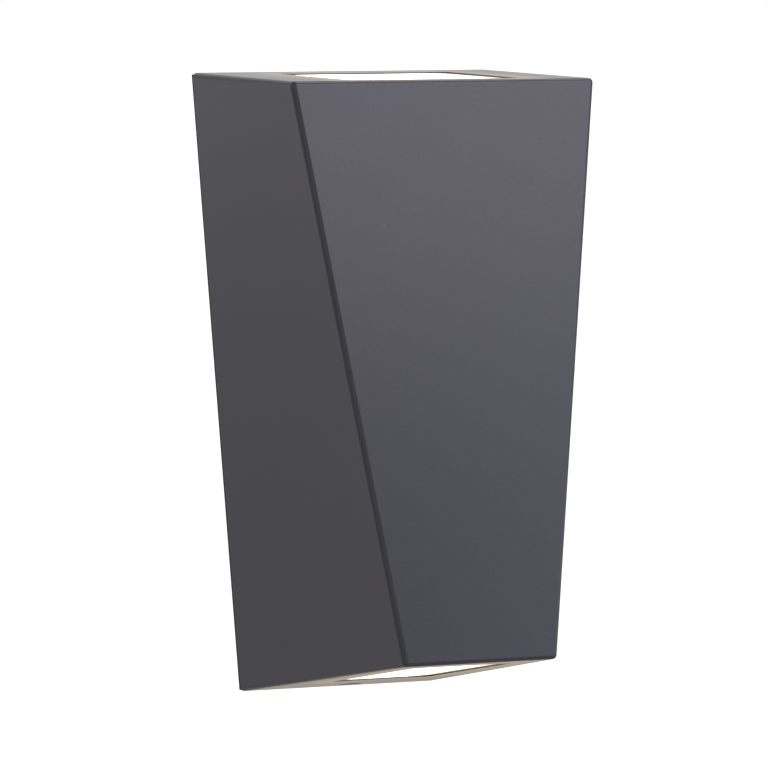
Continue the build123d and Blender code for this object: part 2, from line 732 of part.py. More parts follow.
def back_seal():
    """Foam ring on the body's back edge."""
    half_low = BOTTOM_BACK_WIDTH / 2
    half_high = TOP_BACK_WIDTH / 2
    corners = [(-half_low, BOTTOM_Z), (half_low, BOTTOM_Z), (half_high, TOP_Z), (-half_high, TOP_Z)]
    face = make_face(Polyline(*corners, close=True))
    outside = offset(face, -BACK_SEAL_INSET, kind=Kind.INTERSECTION)
    inside = offset(face, -BACK_SEAL_INSET - BACK_SEAL_WIDTH, kind=Kind.INTERSECTION)
    return extrude(Plane.XZ * (outside - inside), BACK_SEAL)


def hinge_ear(x):
    """Angle welded to the bracket by its foot, with a notch that takes the hinge pin from above."""
    notch = PIN_RADIUS + PIN_GAP
    front = PIN_OUT + notch + EAR_LIP
    prong = PIN_OUT - notch - EAR_PRONG
    outline = [
        at(0, BRACKET_SHEET, PIN_Z - EAR_DROP),
        at(0, front, PIN_Z - EAR_FRONT_DROP),
        at(0, front, PIN_Z + EAR_LIP_HEIGHT),
        at(0, PIN_OUT, PIN_Z + EAR_LIP_HEIGHT),
        at(0, PIN_OUT, PIN_Z + EAR_PRONG_HEIGHT),
        at(0, prong, PIN_Z + EAR_PRONG_HEIGHT),
        at(0, BRACKET_SHEET, PIN_Z - EAR_FOOT_DROP),
    ]
    ear = extrude(make_face(Polyline(*outline, close=True)), BRACKET_SHEET / 2, dir=(1, 0, 0), both=True)
    ear = Location((x, 0, 0)) * ear
    ear -= rod(notch, at(x - BRACKET_SHEET, PIN_OUT, PIN_Z), at(x + BRACKET_SHEET, PIN_OUT, PIN_Z))
    above = (PIN_Z, PIN_Z + EAR_LIP_HEIGHT + PAST)
    ear -= block((x - BRACKET_SHEET, x + BRACKET_SHEET), (PIN_OUT - notch, PIN_OUT + notch), above)
    inward = math.copysign(EAR_FOOT, -x)
    rise = (PIN_Z - EAR_DROP, PIN_Z - EAR_FOOT_DROP)
    return ear + block(sorted((x, x + inward)), (BRACKET_SHEET, 2 * BRACKET_SHEET), rise)


def lock_tab():
    """Angle welded to the bracket by its foot, with a slot open to the front."""
    half = TAB_WIDTH / 2
    tab = block((-half, half), (BRACKET_SHEET, TAB_FRONT), (TAB_LOW, TAB_HIGH))
    tab += block((-half, half), (BRACKET_SHEET, 2 * BRACKET_SHEET), (TAB_LOW, TAB_LOW + TAB_FOOT))
    ends = (TAB_LOW - PAST, TAB_HIGH + PAST)
    slot = TAB_SLOT_WIDTH / 2
    tab -= rod(slot, at(0, LOCK_OUT, ends[0]), at(0, LOCK_OUT, ends[1]))
    return tab - block((-slot, slot), (LOCK_OUT, TAB_FRONT + PAST), ends)


def wall_bracket():
    """Flat sheet against the wall with slots and a cable hole."""
    middle = (BRACKET_TOP + TAB_LOW) / 2
    length = BRACKET_TOP - TAB_LOW
    outline = Location((0, middle)) * RectangleRounded(BRACKET_WIDTH, length, BRACKET_CORNER)
    cuts = Circle(CABLE_HOLE_RADIUS)
    side = SIDE_SLOT_SPACING / 2
    upright = UPRIGHT_SLOT_SPACING / 2
    for x in (-side, side):
        cuts += Location((x, 0)) * SlotOverall(SIDE_SLOT_LENGTH, SLOT_WIDTH)
    for z in (-upright, upright):
        cuts += Location((0, z)) * SlotOverall(UPRIGHT_SLOT_LENGTH, SLOT_WIDTH, rotation=90)
    return extrude(Plane.XZ * (outline - cuts), BRACKET_SHEET)


def cable_grommet():
    """Rubber bush in the bracket's cable hole."""
    top = BRACKET_SHEET + GROMMET_FLANGE
    body = rod(CABLE_HOLE_RADIUS - GROMMET_FIT, at(0, 0, 0), at(0, BRACKET_SHEET, 0))
    flange = rod(GROMMET_FLANGE_RADIUS, at(0, BRACKET_SHEET, 0), at(0, top, 0))
    front = flange.edges().filter_by(GeomType.CIRCLE).sort_by(Axis.Y)[0]
    flange = fillet(front, GROMMET_FLANGE / 2)
    return body + flange - rod(CABLE_RADIUS, at(0, -PAST, 0), at(0, top + PAST, 0))


def lock_screw():
    """Button-head screw with its head down and a hexagon socket."""
    seat = LOCK_SEAT_Z - LOCK_WASHER
    head = rod(LOCK_HEAD_RADIUS, at(0, LOCK_OUT, seat), at(0, LOCK_OUT, seat - LOCK_HEAD_HEIGHT))
    head = fillet(head.edges().filter_by(GeomType.CIRCLE).sort_by(Axis.Z)[0], LOCK_HEAD_ROUND)
    tip = BAR_HIGH + LOCK_TRAVEL + LOCK_TIP
    shank = rod(LOCK_RADIUS, at(0, LOCK_OUT, seat - LOCK_HEAD_HEIGHT / 2), at(0, LOCK_OUT, tip))
    shank = chamfer(shank.edges().filter_by(GeomType.CIRCLE).sort_by(Axis.Z)[-1], LOCK_CHAMFER)
    socket = extrude(RegularPolygon(LOCK_HEX / 2, 6, major_radius=False), LOCK_HEX_DEPTH)
    return head + shank - Location(at(0, LOCK_OUT, seat - LOCK_HEAD_HEIGHT)) * socket


def lock_washer():
    """Soft washer that seals the lock screw."""
    low = LOCK_SEAT_Z - LOCK_WASHER
    high = LOCK_SEAT_Z
    ring = rod(LOCK_WASHER_RADIUS, at(0, LOCK_OUT, low), at(0, LOCK_OUT, high))
    bore = LOCK_RADIUS + LEAD_GAP
    return ring - rod(bore, at(0, LOCK_OUT, low - PAST), at(0, LOCK_OUT, high + PAST))


def clamp_bar():
    """Bar with a tapped hole, above the bracket's tab."""
    half = BAR_LENGTH / 2
    depth = (LOCK_OUT - BAR_WIDTH / 2, LOCK_OUT + BAR_WIDTH / 2)
    bar = block((-half, half), depth, (BAR_LOW, BAR_HIGH))
    bore = LOCK_RADIUS + BAR_HOLE_GAP
    hole = rod(bore, at(0, LOCK_OUT, BAR_LOW - PAST), at(0, LOCK_OUT, BAR_HIGH + PAST))
    return chamfer(bar.edges().filter_by(Axis.Y), BAR_CHAMFER) - hole


def contact_box(x, grow):
    """Outside of one contact, or its pocket when grown."""
    wide = CONTACT_WIDTH / 2 + grow
    deep = CONTACT_THICKNESS / 2 + grow
    span = (CONTACT_OUT - deep, CONTACT_OUT + deep)
    return block((x - wide, x + wide), span, (CONTACT_LOW - grow, CONTACT_HIGH + grow))


def terminal_block():
    """Three-pole block with wire entries below, levers to the wall and fixing ears."""
    half = TERMINAL_WIDTH / 2
    across = (TERMINAL_X - half, TERMINAL_X + half)
    solid = block(across, (TERMINAL_BACK, CHASSIS_OUT), (TERMINAL_Z, TERMINAL_TOP))
    ear_back = CHASSIS_OUT - TERMINAL_EAR_THICKNESS
    for x, z in terminal_ears():
        span = (x - TERMINAL_EAR / 2 - PAST, x + TERMINAL_EAR / 2 + PAST)
        rise = (z - TERMINAL_EAR_HEIGHT / 2, z + TERMINAL_EAR_HEIGHT / 2)
        solid += block(span, (ear_back, CHASSIS_OUT), rise)
    through = TERMINAL_EAR_THICKNESS + PAST
    solid = drilled(solid, terminal_ears(), SCREW_CLEAR, ear_back, through)
    slot = LEVER_WIDTH / 2 + LEVER_GAP
    for x in POLES:
        solid -= contact_box(x, CONTACT_GAP)
        low = at(x, CONTACT_OUT, CONTACT_LOW)
        high = at(x, CONTACT_OUT, CONTACT_HIGH)
        solid -= rod(ENTRY_RADIUS, at(x, CONTACT_OUT, TERMINAL_Z - PAST), low)
        lead_hole = MAINS_LEAD_RADIUS + LEAD_GAP
        solid -= rod(lead_hole, high, at(x, CONTACT_OUT, TERMINAL_TOP + PAST))
        floor = LEVER_OUT + LEVER_THICKNESS / 2 + LEVER_GAP
        below = LEVER_Z - LEVER_LENGTH - LEVER_GAP
        solid -= block((x - slot, x + slot), (TERMINAL_BACK - PAST, floor), (below, LEVER_Z))
        pocket = LEVER_HUB_RADIUS + LEVER_HUB_GAP
        solid -= rod(pocket, at(x - slot, LEVER_OUT, LEVER_Z), at(x + slot, LEVER_OUT, LEVER_Z))
        rise = (LEVER_Z, LEVER_Z + pocket)
        solid -= block((x - slot, x + slot), (TERMINAL_BACK - PAST, LEVER_OUT), rise)
    return solid


def terminal_contacts():
    """Three metal clips in the block's pockets."""
    clips = []
    for x in POLES:
        low = at(x, CONTACT_OUT, CONTACT_LOW - PAST)
        high = at(x, CONTACT_OUT, CONTACT_HIGH + PAST)
        clips.append(contact_box(x, 0) - rod(CONTACT_BORE, low, high))
    return clips


def terminal_screws():
    """Two screws through the block's ears into the chassis."""
    seat = CHASSIS_OUT - TERMINAL_EAR_THICKNESS
    screw = m3(TERMINAL_EAR_THICKNESS + CHASSIS_SHEET)
    return [facing(at(x, seat, z), (0, 1, 0)) * screw for x, z in terminal_ears()]


def lever(x):
    """Lever lying shut in its slot, with a round hub at its upper end."""
    half = LEVER_WIDTH / 2
    side = (x - half, x + half)
    thin = LEVER_THICKNESS / 2
    arm = block(side, (LEVER_OUT - thin, LEVER_OUT + thin), (LEVER_Z - LEVER_LENGTH, LEVER_Z))
    tip = (LEVER_Z - LEVER_LENGTH, LEVER_Z - LEVER_LENGTH + LEVER_LIP_LENGTH)
    arm += block(side, (LEVER_OUT - thin - LEVER_LIP, LEVER_OUT), tip)
    return arm + rod(LEVER_HUB_RADIUS, at(side[0], LEVER_OUT, LEVER_Z), at(side[1], LEVER_OUT, LEVER_Z))


def led_exits():
    """Where LED leads leave the driver's lid, as (x, z)."""
    return [(x, z) for x in (-LEAD_PITCH / 2, LEAD_PITCH / 2) for z in (TOP_LEAD_Z, BOTTOM_LEAD_Z)]


def driver_case():
    """Tray of the driver, open to the front, with two screw ears."""
    half = DRIVER_WIDTH / 2
    tray = block((-half, half), (WEB_FRONT, DRIVER_FRONT), (DRIVER_LOW, DRIVER_HIGH))
    upright = tray.edges().filter_by(Axis.Y)
    tray = fillet(upright, DRIVER_WALL)
    for x, z in driver_ears():
        inward = math.copysign(DRIVER_WALL, DRIVER_Z - z)
        rise = sorted((z - DRIVER_EAR_LENGTH / 2, z + DRIVER_EAR_LENGTH / 2))
        rise = (rise[0] + min(inward, 0), rise[1] + max(inward, 0))
        across = (x - DRIVER_EAR_WIDTH / 2, x + DRIVER_EAR_WIDTH / 2)
        tray += block(across, (WEB_FRONT, WEB_FRONT + DRIVER_EAR_THICKNESS), rise)
    inside = half - DRIVER_WALL
    hollow = (DRIVER_LOW + DRIVER_WALL, DRIVER_HIGH - DRIVER_WALL)
    tray -= block((-inside, inside), (WEB_FRONT + DRIVER_WALL, DRIVER_FRONT + PAST), hollow)
    for x, z in pillars():
        tray += rod(PILLAR_RADIUS, at(x, WEB_FRONT, z), at(x, PCB_OUT, z))
    entry = MAINS_LEAD_RADIUS + LEAD_GAP
    for x in POLES[:2]:
        out = WEB_FRONT + MAINS_ENTRY
        tray -= rod(entry, at(x, out, DRIVER_HIGH - DRIVER_WALL - PAST), at(x, out, DRIVER_HIGH + PAST))
    return drilled(tray, driver_ears(), SCREW_CLEAR, WEB_FRONT, DRIVER_EAR_THICKNESS + PAST)


def pillars():
    """Where the four circuit-board pillars stand in the driver, as (x, z)."""
    x = DRIVER_WIDTH / 2 - DRIVER_WALL - PILLAR_INSET
    low = DRIVER_LOW + DRIVER_WALL + PILLAR_INSET
    high = DRIVER_HIGH - DRIVER_WALL - PILLAR_INSET
    return [(-x, low), (x, low), (-x, high), (x, high)]


def driver_lid():
    """Lid with a lip that fits inside the tray."""
    half = DRIVER_WIDTH / 2
    thick = (DRIVER_FRONT, DRIVER_FRONT + DRIVER_LID)
    plate = block((-half, half), thick, (DRIVER_LOW, DRIVER_HIGH))
    plate = fillet(plate.edges().filter_by(Axis.Y), DRIVER_WALL)
    lip = half - DRIVER_WALL - DRIVER_LIP_GAP
    low = DRIVER_LOW + DRIVER_WALL + DRIVER_LIP_GAP
    high = DRIVER_HIGH - DRIVER_WALL - DRIVER_LIP_GAP
    back = DRIVER_FRONT - DRIVER_LIP
    rim = block((-lip, lip), (back, DRIVER_FRONT), (low, high))
    inside = lip - DRIVER_WALL
    hollow = (low + DRIVER_WALL, high - DRIVER_WALL)
    rim -= block((-inside, inside), (back - PAST, DRIVER_FRONT), hollow)
    bore = LED_LEAD_RADIUS + LEAD_GAP
    return drilled(plate + rim, led_exits(), bore, DRIVER_FRONT, DRIVER_LID + PAST)


def driver_board():
    """Circuit board on the tray's pillars."""
    half = DRIVER_WIDTH / 2 - DRIVER_WALL - PCB_GAP
    rise = (DRIVER_LOW + DRIVER_WALL + PCB_GAP, DRIVER_HIGH - DRIVER_WALL - PCB_GAP)
    return block((-half, half), (PCB_OUT, PCB_FRONT), rise)


def driver_transformer():
    """Ferrite core with its winding."""
    middle = at(0, PCB_FRONT + CORE_DEPTH / 2, DRIVER_Z)
    core = Location(middle) * Box(CORE_WIDTH, CORE_DEPTH, CORE_LENGTH)
    coil = Location(middle) * Box(COIL_WIDTH, COIL_DEPTH, COIL_LENGTH)
    return core + fillet(coil.edges().filter_by(Axis.Z), COIL_ROUND)


def driver_capacitors():
    """Two capacitors standing on the circuit board."""
    cans = []
    for x in (-CAPACITOR_SPACING / 2, CAPACITOR_SPACING / 2):
        z = DRIVER_Z + CAPACITOR_RISE
        can = rod(CAPACITOR_RADIUS, at(x, PCB_FRONT, z), at(x, PCB_FRONT + CAPACITOR_HEIGHT, z))
        front = can.edges().filter_by(GeomType.CIRCLE).sort_by(Axis.Y)[0]
        cans.append(fillet(front, CAPACITOR_ROUND))
    return cans


def driver_screws():
    """Two screws from the front through the driver's ears."""
    seat = WEB_FRONT + DRIVER_EAR_THICKNESS
    return [facing(at(x, seat, z), (0, -1, 0)) * m3(SCREW_SHORT) for x, z in driver_ears()]


def mains_lead(x):
    """Lead from a contact up, through the chassis and down into the driver."""
    out = WEB_FRONT + MAINS_ENTRY
    points = [
        at(x, CONTACT_OUT, CONTACT_HIGH + CONTACT_GAP),
        at(x, CONTACT_OUT, LEAD_HOLE_Z),
        at(x, out, LEAD_HOLE_Z),
        at(x, out, DRIVER_HIGH - DRIVER_WALL - LEAD_TAIL),
    ]
    return lead(points, [MAINS_BEND, MAINS_BEND], MAINS_LEAD_RADIUS)


def earth_lead():
    """Lead from the earth contact to the ring tag."""
    points = [
        at(POLES[2], CONTACT_OUT, CONTACT_HIGH + CONTACT_GAP),
        at(POLES[2], CONTACT_OUT, TAG_Z),
        at(TAG_X - TAG_RADIUS - TAG_NECK, CONTACT_OUT, TAG_Z),
    ]
    return lead(points, [EARTH_BEND], MAINS_LEAD_RADIUS)


def earth_tag():
    """Crimped ring tag flat on the chassis."""
    face = CHASSIS_OUT - TAG_SHEET
    tag = rod(TAG_RADIUS, at(TAG_X, face, TAG_Z), at(TAG_X, CHASSIS_OUT, TAG_Z))
    neck = (TAG_X - TAG_RADIUS - TAG_NECK, TAG_X)
    half = TAG_NECK_WIDTH / 2
    tag += block(neck, (face, CHASSIS_OUT), (TAG_Z - half, TAG_Z + half))
    barrel = (neck[0] - TAG_BARREL_LENGTH + TAG_NECK / 2, neck[0] + TAG_NECK / 2)
    ends = [at(x, CONTACT_OUT, TAG_Z) for x in barrel]
    tag += rod(TAG_BARREL_RADIUS, *ends)
    tag += block((neck[0], barrel[1]), (CONTACT_OUT, CHASSIS_OUT), (TAG_Z - half, TAG_Z + half))
    bore = MAINS_LEAD_RADIUS + LEAD_GAP
    mouth = at(barrel[0] - PAST, CONTACT_OUT, TAG_Z)
    tag -= rod(bore, mouth, at(neck[0] + LEAD_GAP, CONTACT_OUT, TAG_Z))
    return drilled(tag, [(TAG_X, TAG_Z)], TAG_HOLE, face, TAG_SHEET + PAST)


def earth_screw():
    """Screw that holds the ring tag."""
    screw = pan_screw(EARTH_SCREW_RADIUS, EARTH_SCREW_LENGTH, EARTH_HEAD_RADIUS, EARTH_HEAD_HEIGHT)
    return facing(at(TAG_X, CHASSIS_OUT - TAG_SHEET, TAG_Z), (0, 1, 0)) * screw


def lead_grommet():
    """Rubber ring round the chassis hole that the mains leads pass."""
    back = CHASSIS_OUT - LEAD_GROMMET_FLANGE
    front = WEB_FRONT + LEAD_GROMMET_FLANGE
    z = LEAD_HOLE_Z
    ring = rod(LEAD_GROMMET_RADIUS - GROMMET_FIT, at(0, back, z), at(0, front, z))
    ring += rod(LEAD_GROMMET_FLANGE_RADIUS, at(0, back, z), at(0, CHASSIS_OUT, z))
    ring += rod(LEAD_GROMMET_FLANGE_RADIUS, at(0, WEB_FRONT, z), at(0, front, z))
    return ring - rod(LEAD_GROMMET_BORE, at(0, back - PAST, z), at(0, front + PAST, z))


def led_lead(end, side, exit_z, bend):
    """Lead from the driver's lid to a hole in an LED board."""
    x, y = end.leads[side]
    tip = end.point(x, y, -BOARD_DEPTH + LEAD_TAIL)
    normal = end.plane.z_dir
    turn = tip - normal * ((tip.Z - exit_z) / normal.Z)
    start = at(tip.X, DRIVER_FRONT - LEAD_TAIL, exit_z)
    return lead([start, turn, tip], [bend], LED_LEAD_RADIUS)


def save(node, shape):
    """Write one piece, or a list of like pieces, to its own file."""
    pieces = shape if isinstance(shape, list) else [shape]
    export_step(Compound(children=pieces), f"parts/{node}.step")


os.makedirs("parts", exist_ok=True)
TOP, BOTTOM = ENDS = make_ends()

save("wall_bracket", wall_bracket())
save("hinge_ears", [hinge_ear(-EAR_X), hinge_ear(EAR_X)])
save("lock_tab", lock_tab())
save("cable_grommet", cable_grommet())
save("housing_shell", housing_shell(ENDS))
save("back_seal", back_seal())
save("hinge_pin", hinge_pin())
save("lock_screw", lock_screw())
save("lock_washer", lock_washer())
save("clamp_bar", clamp_bar())
for lit in ENDS:
    save(f"{lit.name}_lens", lens(lit))
    save(f"{lit.name}_lens_seal", lens_seal(lit))
    save(f"{lit.name}_reflector", reflector(lit))
    save(f"{lit.name}_reflector_screws", reflector_screws(lit))
    save(f"{lit.name}_led_board", led_board(lit))
    save(f"{lit.name}_leds", leds(lit))
    save(f"{lit.name}_thermal_pad", thermal_pad(lit))
    save(f"{lit.name}_board_screws", board_screws(lit))
save("chassis", chassis(ENDS))
save("chassis_screws", chassis_screws())
save("terminal_block", terminal_block())
save("terminal_contacts", terminal_contacts())
save("terminal_screws", terminal_screws())
for node, place in zip(("live_lever", "neutral_lever", "earth_lever"), POLES):
    save(node, lever(place))
save("driver_case", driver_case())
save("driver_lid", driver_lid())
save("driver_board", driver_board())
save("driver_transformer", driver_transformer())
save("driver_capacitors", driver_capacitors())
save("driver_screws", driver_screws())
save("live_lead", mains_lead(POLES[0]))
save("neutral_lead", mains_lead(POLES[1]))
save("earth_lead", earth_lead())
save("earth_tag", earth_tag())
save("earth_screw", earth_screw())
save("lead_grommet", lead_grommet())
save("top_red_lead", led_lead(TOP, 0, TOP_LEAD_Z, TOP_LEAD_BEND))
save("top_black_lead", led_lead(TOP, 1, TOP_LEAD_Z, TOP_LEAD_BEND))
save("bottom_red_lead", led_lead(BOTTOM, 1, BOTTOM_LEAD_Z, BOTTOM_LEAD_BEND))
save("bottom_black_lead", led_lead(BOTTOM, 0, BOTTOM_LEAD_Z, BOTTOM_LEAD_BEND))
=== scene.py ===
# %% [markdown]
# An outdoor wall light, dressed for its portrait.
# The solids of the light come ready made from a CAD model, with every screw and lead, and are never
# moved here. This lesson sets up the camera, lights a plain studio and gives each solid the finish
# that the real piece has.

# %% Load the solids
import bmesh
import bpy
import json
import math
from mathutils import Matrix, Vector


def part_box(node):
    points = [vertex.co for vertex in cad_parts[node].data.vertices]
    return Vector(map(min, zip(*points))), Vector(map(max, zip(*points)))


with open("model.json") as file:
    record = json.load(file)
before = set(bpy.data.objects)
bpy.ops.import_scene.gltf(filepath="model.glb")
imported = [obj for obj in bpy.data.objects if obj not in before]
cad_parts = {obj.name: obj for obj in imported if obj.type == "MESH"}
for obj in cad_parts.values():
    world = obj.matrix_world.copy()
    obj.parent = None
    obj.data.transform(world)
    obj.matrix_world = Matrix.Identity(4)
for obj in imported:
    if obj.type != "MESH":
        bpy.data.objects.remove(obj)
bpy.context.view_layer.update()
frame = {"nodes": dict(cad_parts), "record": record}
nodes = frame["nodes"]

# %% [markdown]
# The camera stands far off with a long lens, as product cameras do, so the upright edges hardly
# converge. A camera can be aimed at a target, but then it would lose the trace of roll that this view
# has. So its three axes are written out from the two viewing angles and the roll.

# %% Camera
AROUND, ABOVE, ROLL = math.radians(30.10), math.radians(3.92), math.radians(0.307)
DISTANCE, ASIDE, RAISED = 2.7418, 0.01644, -0.00161
SENSOR_WIDTH, FOCAL_LENGTH = 36, 368.8
FARTHEST = 200

flat = math.cos(ABOVE)
toward = Vector((-math.sin(AROUND) * flat, -math.cos(AROUND) * flat, math.sin(ABOVE)))
level = Vector((math.cos(AROUND), -math.sin(AROUND), 0))
upright = toward.cross(level)
right = math.cos(ROLL) * level + math.sin(ROLL) * upright
up = math.cos(ROLL) * upright - math.sin(ROLL) * level

lens_data = bpy.data.cameras.new("camera")
lens_data.sensor_width = SENSOR_WIDTH
lens_data.lens = FOCAL_LENGTH
lens_data.clip_end = FARTHEST
camera = bpy.data.objects.new("camera", lens_data)
turned = Matrix((right, up, toward)).transposed().to_4x4()
camera.matrix_world = Matrix.Translation(ASIDE * right + RAISED * up + DISTANCE * toward) @ turned
bpy.context.scene.collection.objects.link(camera)
bpy.context.scene.camera = camera
print("camera at", [round(c, 3) for c in camera.matrix_world.translation])

# %% [markdown]
# A finish is a small network of shader nodes. Linking nodes by hand is wordy, so one class wraps
# an output socket: sums and products of such wires add Math nodes, and one method adds any
# other node. The settings go in first, because they decide which sockets a node has.

# %% Wires
class Wire:
    """An output socket of a shader network, on which Python's arithmetic works."""

    def __init__(self, tree, socket=None):
        self.tree = tree
        self.socket = socket

    def node(self, kind, settings=None, sockets=None, out=0):
        """Adds a node with its settings, then the values or wires of its sockets."""
        made = self.tree.nodes.new("ShaderNode" + kind)
        for name, value in (settings or {}).items():
            setattr(made, name, value)
        for name, value in (sockets or {}).items():
            if isinstance(value, Wire):
                self.tree.links.new(value.socket, made.inputs[name])
            else:
                made.inputs[name].default_value = value
        return Wire(self.tree, made.outputs[out])

    def maths(self, operation, *values):
        return self.node("Math", {"operation": operation}, dict(enumerate(values)))

    def ease(self, low, high):
        """Smooth step from 0 at low to 1 at high."""
        sockets = {"Value": self, "From Min": low, "From Max": high}
        return self.node("MapRange", {"interpolation_type": "SMOOTHSTEP"}, sockets)

    def diagonal(self, other):
        """Length of the diagonal that has this wire and the other as its sides."""
        return self.maths("SQRT", self * self + other * other)

    def __add__(self, other):
        return self.maths("ADD", self, other)

    def __sub__(self, other):
        return self.maths("SUBTRACT", self, other)

    def __rsub__(self, other):
        return self.maths("SUBTRACT", other, self)

    def __mul__(self, other):
        return self.maths("MULTIPLY", self, other)

    def __abs__(self):
        return self.maths("ABSOLUTE", self)

    __radd__ = __add__
    __rmul__ = __mul__


# %% [markdown]
# Every finish starts from the same shader. An image could give it a pattern, but an image needs to be
# unwrapped onto each solid. Noise in the solid's own coordinates doesn't. They are metres here, so a
# noise scale of 2000 makes grains of half a millimetre.

# %% Finish helpers
class Finish:
    """A material with one Principled shader, and the patterns that the finishes share."""

    def __init__(self, name, **even):
        self.material = bpy.data.materials.new(name)
        self.material.use_nodes = True
        tree = self.material.node_tree
        self.shader = next(n for n in tree.nodes if n.type == "BSDF_PRINCIPLED")
        self.wire = Wire(tree)
        self.place = self.wire.node("TexCoord", out="Object")
        self.set(**even)

    def set(self, **sockets):
        """Sets or links sockets of the shader, named with _ for a space."""
        for name, value in sockets.items():
            socket = self.shader.inputs[name.replace("_", " ")]
            if isinstance(value, Wire):
                self.wire.tree.links.new(value.socket, socket)
            else:
                socket.default_value = value

    def noise(self, scale, detail=2.0, stretch=None):
        """Grain from 0 to 1, drawn out along an axis where stretch is given."""
        where = self.place
        if stretch:
            where = self.wire.node("Mapping", sockets={"Vector": where, "Scale": stretch})
        return self.wire.node("TexNoise", sockets={"Vector": where, "Scale": scale, "Detail": detail})

    def cells(self, scale):
        """Distance to the nearest of scattered points."""
        return self.wire.node("TexVoronoi", sockets={"Vector": self.place, "Scale": scale})

    def axes(self):
        """The x, y and z of the solid's coordinates as three wires."""
        split = self.wire.node("SeparateXYZ", sockets={"Vector": self.place})
        return [Wire(split.tree, socket) for socket in split.socket.node.outputs]

    def mix(self, share, first, second):
        """Colour between two colours."""
        colours = [c if isinstance(c, Wire) else (*c, 1) for c in (first, second)]
        sockets = {0: share, 6: colours[0], 7: colours[1]}
        return self.wire.node("Mix", {"data_type": "RGBA"}, sockets, out=2)

    def relief(self, height, depth, strength):
        """Normal for a height in 0 to 1 that stands for depth metres."""
        sockets = {"Height": height, "Distance": depth, "Strength": strength}
        return self.wire.node("Bump", sockets=sockets)


# %% [markdown]
# The studio starts with its sky. A product photographer lights the backdrop white and keeps the room
# dim all round, so that a dark object keeps its shape. A picture of a real studio could be the sky, but
# two soft patches on an even sky are easier to tune. The white patch is behind the light, seen from the
# camera. The slanted front edge mirrors the room on the left, so a paler patch there makes that edge a
# dark grey line instead of a black one.

# %% Sky
DIM_SKY, LEFT_SKY, WHITE_SKY = 0.35, 0.75, 1.0
LEFT_SIDE = Vector((-0.85, -0.50, 0.15))
WHITE_RIM, WHITE_CORE = 0.40, 0.75
LEFT_RIM, LEFT_CORE = 0.50, 0.90

scene = bpy.context.scene
scene.view_settings.view_transform = "Standard"
sky = bpy.data.worlds.new("sky")
sky.use_nodes = True
scene.world = sky
look = Wire(sky.node_tree)


def sky_patch(direction, rim, core):
    """1 in the patch of sky round a direction and 0 past its rim; rim and core are cosines."""
    rays = {0: look.node("TexCoord"), 1: direction}
    return look.node("VectorMath", {"operation": "DOT_PRODUCT"}, rays, out="Value").ease(rim, core)


white = sky_patch(-toward, WHITE_RIM, WHITE_CORE)
left = sky_patch(LEFT_SIDE, LEFT_RIM, LEFT_CORE)
strength = DIM_SKY + (WHITE_SKY - DIM_SKY) * white + (LEFT_SKY - DIM_SKY) * left
backdrop = sky.node_tree.nodes["Background"].inputs
sky.node_tree.links.new(strength.socket, backdrop["Strength"])
backdrop["Color"].default_value = (1, 1, 1, 1)
print("sky nodes:", len(sky.node_tree.nodes))

# %% [markdown]
# Three area lamps light the body. They are square panels, as a photographer's soft boxes are, while
# point lamps would draw hard spots on the coat. The key lamp hangs close to the right of the camera, so
# its light fades down the front. A weaker low lamp beside it fills the foot. Seen from the camera,
# only the rounded upper front edge mirrors the top lamp, which keeps that edge from going black.

# %% Lamps
def soft_lamp(name, place, aim, size, watts, colour):
    """Square area lamp that looks at a point."""
    data = bpy.data.lights.new(name, "AREA")
    data.size = size
    data.energy = watts
    data.color = colour
    lamp = bpy.data.objects.new(name, data)
    lamp.location = place
    lamp.rotation_mode = "QUATERNION"
    lamp.rotation_quaternion = (Vector(aim) - Vector(place)).to_track_quat("-Z", "Y")
    lamp.visible_camera = False
    scene.collection.objects.link(lamp)


soft_lamp("key_lamp", place=(0.28, -0.50, 0.33), aim=(0.02, -0.07, 0.05),
          size=0.42, watts=1.66, colour=(0.90, 0.88, 1.0))
soft_lamp("low_lamp", place=(0.46, -0.50, -0.05), aim=(0.03, -0.07, -0.03),
          size=0.42, watts=0.74, colour=(0.83, 0.92, 1.0))
soft_lamp("top_lamp", place=(0.46, 0.02, 0.88), aim=(0.0, -0.05, 0.10),
          size=0.50, watts=2.0, colour=(0.92, 0.92, 1.0))

# %% [markdown]
# A wide floor lies well below the light. It throws some light back up, as a studio's floor does, and
# seen from higher up it is the background. A backdrop curved up behind the light could be both, but it
# would have to be turned for each view, so the floor is one flat square that reaches far on all sides.

# %% Floor
FLOOR_DROP, FLOOR_REACH = 1.6, 60

floor_mesh = bpy.data.meshes.new("floor")
shape = bmesh.new()
bmesh.ops.create_grid(shape, x_segments=1, y_segments=1, size=FLOOR_REACH)
bmesh.ops.translate(shape, verts=shape.verts, vec=(0, 0, -FLOOR_DROP))
shape.to_mesh(floor_mesh)
shape.free()
floor = bpy.data.objects.new("floor", floor_mesh)
scene.collection.objects.link(floor)
print("floor reaches", FLOOR_REACH, "m each way,", FLOOR_DROP, "m below the light's middle")

# %% [markdown]
# The floor gets a pale matt finish with a trace of unevenness. Behind the light it glows: far off,
# where it is the backdrop, nearly as white as the sky. Nearer, the slanted faces mirror it: its fading
# with distance shades the left side from the front edge to the wall, and its warmth to the right tints
# the bottom rim. Lamps under the faces could do this too, but a glow that follows the place on the
# floor is easier to shape.

